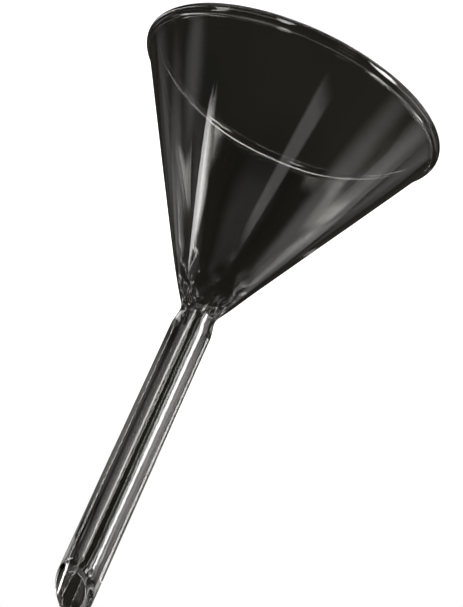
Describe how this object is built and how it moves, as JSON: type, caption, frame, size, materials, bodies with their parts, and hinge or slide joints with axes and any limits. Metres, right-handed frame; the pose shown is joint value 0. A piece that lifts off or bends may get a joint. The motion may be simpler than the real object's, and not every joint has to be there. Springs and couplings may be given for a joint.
{
  "type": "filter funnel",
  "caption": "Clear glass filter funnel: a plain cone with a rounded rim bead, a waisted neck and a straight thick-walled stem that ends in a slanted tip.",
  "frame": {"origin": "centre of the mouth, in the plane that the rim stands on", "axes": "+Z along the funnel's axis from the mouth to the stem's tip, +Y towards the long side of the slanted tip"},
  "size_m": [0.075, 0.075, 0.1291],
  "materials": {
    "glass": null
  },
  "bodies": {
    "root": {"funnel": "glass"}
  },
  "joints": []
}
